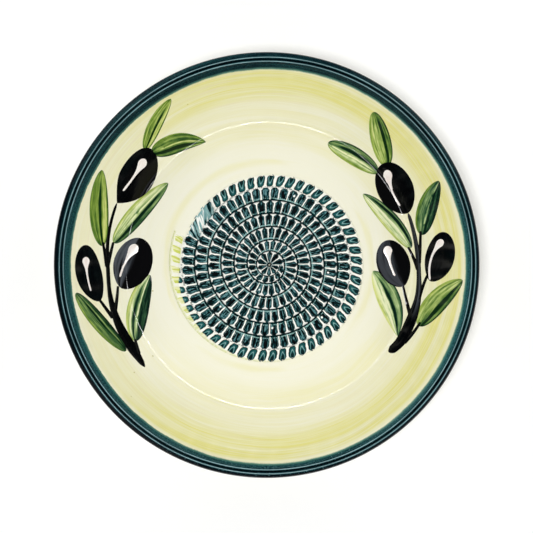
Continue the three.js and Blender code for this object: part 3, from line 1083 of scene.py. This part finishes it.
def tooth_glaze_finish():
    """Teal in the gouges, white ridges, a dark line between one turn of the row and the next that is
    partly painted shadow, and beside it a broken painted highlight along the crest.
    """
    material, nodes = new_finish("tooth_glaze")
    wash = wash_colour(nodes, bowl_place(nodes))[0]
    tooth = Tooth(nodes)
    at, along, outer = tooth.at, tooth.along, tooth.outer
    brushed_to = 0.08 + 0.42 * at.rise(2, 6) + 0.25 * at.rise(6, 12) + 0.6 * at.rise(12, 18)
    missed = (along + 0.2 * tooth.wander).rise(brushed_to - 0.04, brushed_to + 0.04) * outer
    end_at = 1.0 - 0.28 * tooth.side - 0.20 * at.rise(16, 4)
    cut_end = 1 - outer * along.rise(end_at - 0.03, end_at + 0.03)
    start_at = 0.07 + 0.1 * at.rise(5, 3)
    started = along.rise(start_at - 0.02, start_at + 0.02)
    gouged = tooth.inside.rise(-0.04, 0.04) * started * cut_end
    wiped = at.rise(*WIPED_FROM_TO) * outer

    outer_fill = nodes.mix(wiped, outer_gouge_colour(nodes, tooth), wiped_colour(nodes, tooth))
    outer_fill = nodes.mix(missed, outer_fill, missed_colour(nodes, tooth, wash))
    fill = nodes.mix(outer, gouge_colour(nodes, tooth), outer_fill)
    ridges = ridge_colour(nodes, tooth, wash, missed)
    colour = nodes.mix(gouged.at_least(wiped * cut_end), ridges, fill)
    runs = nodes.noise(nodes.vector(at * 0.35, 0.3, 0.7))
    # painted highlight: a broken pale line along the crest of each turn, where glaze also breaks pale
    crest_highlight = along.line(0.15, 0.055) * (1 - outer) * runs.rise(0.51, 0.60)
    colour = nodes.mix(crest_highlight, colour, TOOTH_PALE_HIGHLIGHT)
    # dark glaze line between the turns, partly painted shadow
    row_line_and_shadow = along.rise(0.125, 0.085) * (1 - missed)
    row_line_and_shadow = row_line_and_shadow * (1 - outer * (1 - 0.6 * tooth.grain.rise(0.45, 0.55)))
    colour = nodes.mix(row_line_and_shadow, colour, TOOTH_LINE)
    show(nodes, coat(nodes, colour, 0.3 + 0.2 * tooth.streaks, tooth.streaks, TOOTH_BUMP, TOOTH_GLOSS))
    return material


tooth_glaze = tooth_glaze_finish()
teeth_sizes = {
    "Row Teeth": ("NodeSocketInt", ROW_TEETH),
    "Rosette Teeth": ("NodeSocketInt", ROSETTE_TEETH),
    "Row Pitch": ("NodeSocketFloat", ROW_PITCH * MM),
    "Outer Radius": ("NodeSocketFloat", GRATER_R * MM),
    "Rosette Fall": ("NodeSocketFloat", ROSETTE_FALL * MM),
    "End Bearing": ("NodeSocketFloat", math.radians(END_BEARING)),
    "Hub": ("NodeSocketFloat", HUB_R * MM),
    "Floor": ("NodeSocketFloat", floor_z * MM),
    "Gouge Depth": ("NodeSocketFloat", GOUGE_DEPTH * MM),
    "Ridge Rise": ("NodeSocketFloat", RIDGE_RISE * MM),
    "Lip Rise": ("NodeSocketFloat", LIP_RISE * MM),
    "Bed Depth": ("NodeSocketFloat", BED_DEPTH * MM),
    "Seed": ("NodeSocketInt", SEED),
    "Finish": ("NodeSocketMaterial", tooth_glaze),
}
teeth_mesh = made_by_nodes("grater_teeth", grater_tree(teeth_sizes), teeth_sizes)
teeth_mesh.materials.clear()
grater_teeth = new_piece("grater_teeth", teeth_mesh, tooth_glaze)
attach(grater_teeth, "root")
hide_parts(*(f"grater_turn_{turn}" for turn in range(1, 8)))


# Olive leaves
# Each leaf is one stroke of a flat brush that carries dark green on one side and yellow-green on the
# other, laid on the dry glaze and fired into it. The paint stands a hair above the glaze.
STROKE_STEPS = 64
STROKE_COLUMNS = 24
STROKE_EDGE = 0.012
STROKE_SUNK = 0.12
STROKE_VALUES = ("along", "across", "stroke", "left", "right", "dark_line", "pale_line", "cool")
CAST_STEPS = 30
LEAF_RISE = 0.06
NO_LINE = 9
PAINT_GLOSS = 0.12
PAINT_BUMP = 0.012
WARM_GREENS = [(22, 46, 18), (60, 94, 42), (114, 142, 58), (164, 184, 90), (216, 222, 138)]
COOL_GREENS = [(8, 36, 27), (52, 88, 60), (110, 140, 90), (176, 198, 138), (236, 240, 198)]
GREEN_STEPS = (0.06, 0.30, 0.52, 0.74, 0.96)


def on_bowl(px, py):
    """The points of the glazed inside, in millimetres, that the camera sees at pixels of the picture."""
    px, py = np.asarray(px, float), np.asarray(py, float)
    aside = ((px - RIM_MIDDLE_X) / focal_px)[..., None] * np.array(camera_right)
    above = ((RIM_MIDDLE_Y - py) / focal_px)[..., None] * np.array(camera_up)
    ray = np.array(camera_ahead) + aside + above
    start = np.array(eye) / MM

    def at_height(z):
        way = (z - start[2]) / ray[..., 2]
        return start + ray * way[..., None]

    z = np.full(px.shape, floor_z)
    for _ in range(CAST_STEPS):
        point = at_height(z)
        z = 0.5 * z + 0.5 * inside_height(np.hypot(point[..., 0], point[..., 1]))
    return at_height(z)


def smooth_path(points, steps):
    """Points spread along a smooth curve through a few pixels, closer together at both ends, and the
    share of the way, 0 to 1, of each."""
    points = np.array(points, float)
    lengths = np.linalg.norm(np.diff(points, axis=0), axis=1)
    knots = np.concatenate([[0], np.cumsum(lengths)]) / lengths.sum()
    slopes = np.gradient(points, knots, axis=0, edge_order=2 if len(points) > 2 else 1)
    share = (1 - np.cos(np.linspace(0, math.pi, steps))) / 2
    piece = np.clip(np.searchsorted(knots, share, side="right") - 1, 0, len(knots) - 2)
    span = (knots[piece + 1] - knots[piece])[:, None]
    t = ((share - knots[piece]) / span[:, 0])[:, None]
    path = (
        (2 * t**3 - 3 * t**2 + 1) * points[piece]
        + (t**3 - 2 * t**2 + t) * span * slopes[piece]
        + (3 * t**2 - 2 * t**3) * points[piece + 1]
        + (t**3 - t**2) * span * slopes[piece + 1]
    )
    return path, share


class Strokes:
    """Brush strokes of one colour, which become one mesh. For the finish to read, each point keeps how
    far along and across its stroke it lies, the stroke's number, how light the paint on its left and its
    right is, where across it a dark and a pale line run, and how cool its green is."""

    def __init__(self):
        self.shape = bmesh.new()
        self.layers = [self.shape.verts.layers.float.new(name) for name in STROKE_VALUES]
        self.count = 0

    def add(self, points, half_width, base=STROKE_EDGE, rise=LEAF_RISE,
            left=0, right=0, dark_line=NO_LINE, pale_line=NO_LINE, cool=0):
        """One stroke along points, in pixels. half_width gives the half width, in pixels, for a share
        of the way. The stroke is a thin lens that stands on the glaze."""
        path, share = smooth_path(points, STROKE_STEPS)
        ahead_px = np.gradient(path, axis=0)
        ahead_px /= np.linalg.norm(ahead_px, axis=1)[:, None]
        beside_px = np.stack([-ahead_px[:, 1], ahead_px[:, 0]], axis=1)
        across = np.linspace(-1, 1, STROKE_COLUMNS)
        widths = np.array([half_width(s) for s in share])
        pixels = path[:, None, :] + beside_px[:, None, :] * (widths[:, None] * across)[..., None]
        ground = on_bowl(pixels[..., 0], pixels[..., 1])
        crown = (1 - across**2) * np.minimum(1, widths / 2)[:, None]
        self.count += 1
        facts = (share, across, (self.count, left, right, dark_line, pale_line, cool))
        over = self.sheet(ground, base + rise * crown, facts)
        below = self.sheet(ground, base - (base + STROKE_SUNK) * crown, facts)
        self.skin(over)
        self.skin(below)

    def sheet(self, ground, lift, facts):
        """A grid of points that stand on the ground by a lift."""
        share, across, same = facts
        grid = []
        for i in range(STROKE_STEPS):
            line = []
            for j in range(STROKE_COLUMNS):
                x, y, z = ground[i, j]
                vert = self.shape.verts.new((x * MM, y * MM, (z + lift[i, j]) * MM))
                for layer, value in zip(self.layers, (share[i], across[j], *same)):
                    vert[layer] = value
                line.append(vert)
            grid.append(line)
        return grid

    def skin(self, grid):
        for line, following in zip(grid, grid[1:]):
            for j in range(STROKE_COLUMNS - 1):
                self.shape.faces.new((line[j], line[j + 1], following[j + 1], following[j]))


def leaf_width(width, belly=0.45, blunt=0.5):
    """Half width along a leaf: fullest at belly, with a blunt base and a pointed tip."""
    tip = blunt * (1 - belly) / belly
    top = belly**blunt * (1 - belly) ** tip
    return lambda s: width / 2 * max(s, 0) ** blunt * max(1 - s, 0) ** tip / top


def leaf_finish():
    """Two greens that meet in the stroke, drawn out in hairs, with the leaf's lines and darker ends."""
    material, nodes = new_finish("leaf_paint")
    values = [stored_value(nodes, name) for name in STROKE_VALUES]
    along, across, stroke, left, right, dark_line, pale_line, cool = values
    bend = nodes.noise(nodes.vector(across * 1.2, along * 2.2, stroke * 2.3)) - 0.5
    bent = across + 0.25 * bend
    hairs = nodes.noise(nodes.vector(bent * 5, along * 2.0, stroke * 3.7), detail=3)
    broken = nodes.noise(nodes.vector(bent * 4, along * 9, stroke * 1.9))
    value = left + (right - left) * bent.rise(-0.35, 0.45) + 1.3 * (hairs - 0.5) + 0.4 * (broken - 0.5)
    dark = bent.line(dark_line, 0.26) * along.rise(1.0, 0.6)
    pale = bent.line(pale_line, 0.14) * along.rise(0.05, 0.25) * broken.rise(0.25, 0.42)
    value = value - 0.95 * dark + 0.5 * pale
    left_edge = across.rise(-0.76, -0.95)
    right_edge = across.rise(0.74, 0.96)
    ends = along.rise(0.12, 0.0) + along.rise(0.90, 0.99)
    value = value * (1 - 0.5 * left_edge) + 0.5 * left_edge * (0.25 + 0.5 * left)
    value = value * (1 - 0.7 * right_edge) - 0.2 * ends

    def ramp(greens):
        stops = [(step, colour_of(*green)) for step, green in zip(GREEN_STEPS, greens)]
        return nodes.add("ShaderNodeValToRGB", {"stops": stops}, {"Fac": value.share()})

    cooled = cool * across.rise(-0.9, -0.5)
    colour = nodes.mix(cooled, ramp(WARM_GREENS), ramp(COOL_GREENS))
    show(nodes, coat(nodes, colour, 0.05 + 0.06 * hairs, hairs, PAINT_BUMP, PAINT_GLOSS))
    return material


# The points and widths of strokes are pixels of the picture, counted from its upper left corner.
LEFT_TOP_LEAF = [(145, 150), (155.5, 124), (171, 99)]
LEFT_SIDE_LEAF = [(152, 153), (166, 147), (181, 142), (193, 141), (206, 142)]
LEFT_OUTER_LEAF = [(102.5, 246), (99, 210), (102, 170)]
LEFT_INNER_LEAF = [(114, 243), (138, 213), (168, 183)]
LEFT_LOW_OUTER_LEAF = [(126, 351), (98, 321), (76, 293)]
LEFT_LOW_INNER_LEAF = [(136, 341), (138, 309), (150, 275)]
RIGHT_TOP_LEAF = [(387, 166), (380.5, 139), (373.5, 112)]
RIGHT_SIDE_LEAF = [(378, 173), (354, 156), (328, 143)]
RIGHT_OUTER_LEAF = [(422, 235), (427.5, 208), (439, 181)]
RIGHT_INNER_LEAF = [(411, 248), (388, 218), (363, 194)]
RIGHT_LOW_INNER_LEAF = [(397.5, 336), (391, 305), (373, 271)]
RIGHT_LOW_OUTER_LEAF = [(419, 326), (437.5, 301), (462.5, 280)]

leaves = Strokes()
leaves.add(LEFT_TOP_LEAF, leaf_width(14), left=0.56, right=0.80, dark_line=0.2)
leaves.add(LEFT_SIDE_LEAF, leaf_width(20, belly=0.38),
           left=0.50, right=0.48, dark_line=0.4, pale_line=0.0, cool=0.2)
leaves.add(LEFT_OUTER_LEAF, leaf_width(19), left=0.48, right=0.80, dark_line=0.12)
leaves.add(LEFT_INNER_LEAF, leaf_width(19),
           left=0.78, right=0.50, dark_line=0.4, pale_line=0.0, cool=0.8)
leaves.add(LEFT_LOW_OUTER_LEAF, leaf_width(15.5, belly=0.5),
           left=0.46, right=0.14, pale_line=0.45, cool=0.6)
leaves.add(LEFT_LOW_INNER_LEAF, leaf_width(22),
           left=0.88, right=0.10, dark_line=-0.3, pale_line=0.1, cool=1)
leaves.add(RIGHT_TOP_LEAF, leaf_width(20, belly=0.46, blunt=0.46),
           left=0.70, right=0.46, dark_line=0.35, cool=0.2)
leaves.add(RIGHT_SIDE_LEAF, leaf_width(18.5, belly=0.5),
           left=0.70, right=0.44, dark_line=0.25, pale_line=-0.2, cool=0.8)
leaves.add(RIGHT_OUTER_LEAF, leaf_width(20), left=0.46, right=0.04, pale_line=0.1, cool=1)
leaves.add(RIGHT_INNER_LEAF, leaf_width(17),
           left=0.90, right=0.48, dark_line=0.5, pale_line=0.0, cool=1)
leaves.add(RIGHT_LOW_INNER_LEAF, leaf_width(23, belly=0.56, blunt=0.8),
           left=1.0, right=0.52, dark_line=0.1, cool=1)
leaves.add(RIGHT_LOW_OUTER_LEAF, leaf_width(22), left=0.70, right=0.36, dark_line=0.45, cool=0.3)
olive_leaves = new_piece("olive_leaves", finished_mesh("olive_leaves", leaves.shape), leaf_finish())
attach(olive_leaves, "root")


# Olives and stems
# The olives are filled with a round brush in black underglaze and the stems drawn with its tip. On two
# olives and the right stem a painted reflection turns part of the black grey.
OLIVE_BASE = 0.05
OLIVE_TAPER = 1.7
STEM_BASE = 0.06
STEM_ROUND_END = 0.03
INK = colour_of(9, 9, 12)
INK_REFLECTION_GREY = colour_of(84, 88, 96)


def olive_width(width, point=0.3):
    """Half width along an olive: round at its near end, and pointed by a share at its far end."""
    def at(s):
        half = 2 * s - 1
        rounded = math.sqrt(max(0, 1 - half * half))
        pointed = 1 - max(0, half) ** OLIVE_TAPER
        return width / 2 * (rounded + point * max(0, half) ** 0.5 * (pointed - rounded))
    return at


def stem_width(*widths):
    """Half width along a stem, through widths spread evenly along it, with rounded ends."""
    def at(s):
        near_end = min(max(0, s), max(0, 1 - s))
        rounded = min(1, math.sqrt(near_end / STEM_ROUND_END))
        return np.interp(s, np.linspace(0, 1, len(widths)), widths) / 2 * rounded
    return at


def ink_finish():
    """Black paint, turned grey in part by a painted reflection. A stroke's left value says how grey the
    reflection gets, its pale line where across it that is, and its right value from how far along it."""
    material, nodes = new_finish("black_paint")
    across = stored_value(nodes, "across")
    along = stored_value(nodes, "along")
    stroke = stored_value(nodes, "stroke")
    reflection_strength = stored_value(nodes, "left")
    reflection_at = stored_value(nodes, "pale_line")
    reflection_from = stored_value(nodes, "right")
    hairs = nodes.noise(nodes.vector(across * 3.0, along * 1.0, stroke * 4.3), detail=3)
    # painted reflection: grey streaks across the black where a stroke asks for them
    thin = reflection_strength * across.line(reflection_at, 0.9).rise(0.05, 0.5) * hairs.rise(0.36, 0.62)
    thin = thin * along.rise(reflection_from, reflection_from + 0.2)
    colour = nodes.mix(thin.share(), INK, INK_REFLECTION_GREY)
    show(nodes, coat(nodes, colour, 0.04 + 0.06 * hairs, hairs, PAINT_BUMP, PAINT_GLOSS))
    return material


LEFT_TOP_OLIVE = [(149, 148), (137, 177), (117, 203)]
LEFT_OUTER_OLIVE = [(86, 245), (89, 274), (100, 301)]
LEFT_INNER_OLIVE = [(140, 238), (133, 263), (121, 288)]
RIGHT_TOP_OLIVE = [(384, 163), (395, 188), (408, 213)]
RIGHT_INNER_OLIVE = [(388.5, 240), (393.5, 264), (404, 286)]
RIGHT_OUTER_OLIVE = [(443, 232), (440, 257), (430, 281)]

black_paint = ink_finish()
olives = Strokes()
olives.add(LEFT_TOP_OLIVE, olive_width(35, point=0.9), OLIVE_BASE)
olives.add(LEFT_OUTER_OLIVE, olive_width(26), OLIVE_BASE)
# left, right and pale_line place a painted reflection that turns part of this olive grey
olives.add(LEFT_INNER_OLIVE, olive_width(38), OLIVE_BASE, left=0.9, right=-1, pale_line=0.7)
olives.add(RIGHT_TOP_OLIVE, olive_width(36), OLIVE_BASE)
# left, right and pale_line place a painted reflection that turns part of this olive grey
olives.add(RIGHT_INNER_OLIVE, olive_width(33), OLIVE_BASE, left=0.55, right=-1, pale_line=0.5)
olives.add(RIGHT_OUTER_OLIVE, olive_width(29), OLIVE_BASE)
olive_fruit = new_piece("olive_fruit", finished_mesh("olive_fruit", olives.shape), black_paint)
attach(olive_fruit, "root")

LEFT_STEM = [(145, 367), (131, 346), (120, 327), (111, 300), (108, 270), (108, 240), (117, 203)]
LEFT_STEM_WIDTHS = (4, 10, 9, 6.5, 4, 4, 3.5, 3, 2.5)
RIGHT_STEM = [
    (388.5, 352), (400, 342), (409, 325), (417.8, 298), (418.7, 270), (415.4, 240), (408, 213),
]
RIGHT_STEM_WIDTHS = (8, 11, 10.5, 6.5, 4.6, 4.6, 4, 3)
LEFT_TWIGS = [
    [(102.8, 242), (105, 254), (107, 267)],
    [(113.5, 242), (110.5, 254), (107.5, 267)],
    [(99, 299), (113, 318)],
    [(118, 286), (117, 298), (115, 312)],
    [(135, 339), (139, 354)],
]
RIGHT_TWIGS = [
    [(420.5, 231), (420, 248), (419, 264)],
    [(408, 247), (413.5, 258), (418, 270)],
    [(402.5, 284), (406, 299), (411, 318)],
    [(427.5, 275), (423, 286), (418.5, 300)],
    [(420.5, 322), (414.5, 331), (404, 343)],
]
TWIG_WIDTHS = (2.5, 4)

stems = Strokes()
stems.add(LEFT_STEM, stem_width(*LEFT_STEM_WIDTHS), STEM_BASE)
# left, right and pale_line place a painted reflection that turns part of this stem grey
stems.add(RIGHT_STEM, stem_width(*RIGHT_STEM_WIDTHS), STEM_BASE, left=0.7, right=0.25, pale_line=0.0)
for twig in LEFT_TWIGS + RIGHT_TWIGS:
    stems.add(twig, stem_width(*TWIG_WIDTHS), STEM_BASE)
olive_stems = new_piece("olive_stems", finished_mesh("olive_stems", stems.shape), black_paint)
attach(olive_stems, "root")


# Highlights on the olives
# A drop of white slip with a drawn-out tail is set on every olive, standing a little proud of the
# black. It is fired with the paint, and here and there it turns faintly pink.
GLINT_BASE = 0.14
GLINT_RISE = 0.10
GLINT_BUMP = 0.03
DROP_HEAD = 0.6
DROP_TAPER = 0.75
DROP_TIP = 0.04
GLINT_WHITE = colour_of(255, 250, 247)
GLINT_PINK = colour_of(246, 234, 230)


def drop_width(head, tail, length):
    """Half width along a drop of a length: a round head, a short taper and a thin tail."""
    def at(s):
        down = s * length / head
        if down < DROP_HEAD:
            return head / 2 * math.sqrt(max(0, 1 - (1 - down / DROP_HEAD) ** 2))
        taper = math.exp(-((down - DROP_HEAD) / DROP_TAPER) ** 1.5)
        tip = min(1, math.sqrt(max(0, 1 - s) / DROP_TIP))
        return (tail + (head - tail) * taper) / 2 * tip
    return at


def glint_finish():
    """White slip with a faint pink cloud."""
    material, nodes = new_finish("white_slip")
    across = stored_value(nodes, "across")
    along = stored_value(nodes, "along")
    stroke = stored_value(nodes, "stroke")
    cloud = nodes.noise(nodes.vector(across * 1.5, along * 4, stroke * 2.9), detail=3)
    colour = nodes.mix(cloud.rise(0.35, 0.7), GLINT_WHITE, GLINT_PINK)
    show(nodes, coat(nodes, colour, 0.15 + 0.15 * cloud, cloud, GLINT_BUMP))
    return material


LEFT_TOP_GLINT = [(145, 159), (135, 175), (123, 191)]
LEFT_OUTER_GLINT = [(86, 257), (87, 273), (91, 291)]
LEFT_INNER_GLINT = [(137, 245), (126, 261), (120, 277)]
RIGHT_TOP_GLINT = [(387, 170), (391, 188), (400, 206)]
RIGHT_INNER_GLINT = [(387.5, 246), (389.5, 261), (395, 276)]
RIGHT_OUTER_GLINT = [(443, 240), (431, 259), (430, 280)]

drops = [
    (LEFT_TOP_GLINT, drop_width(head=8.6, tail=2, length=36)),
    (LEFT_OUTER_GLINT, drop_width(head=7.2, tail=1.6, length=34)),
    (LEFT_INNER_GLINT, drop_width(head=9.6, tail=2, length=36)),
    (RIGHT_TOP_GLINT, drop_width(head=8.8, tail=2, length=36)),
    (RIGHT_INNER_GLINT, drop_width(head=8.8, tail=2, length=34)),
    (RIGHT_OUTER_GLINT, drop_width(head=7.2, tail=2, length=42)),
]
glints = Strokes()
for drop_points, half_width in drops:
    glints.add(drop_points, half_width, GLINT_BASE, GLINT_RISE)
olive_glints = new_piece("olive_glints", finished_mesh("olive_glints", glints.shape), glint_finish())
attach(olive_glints, "root")
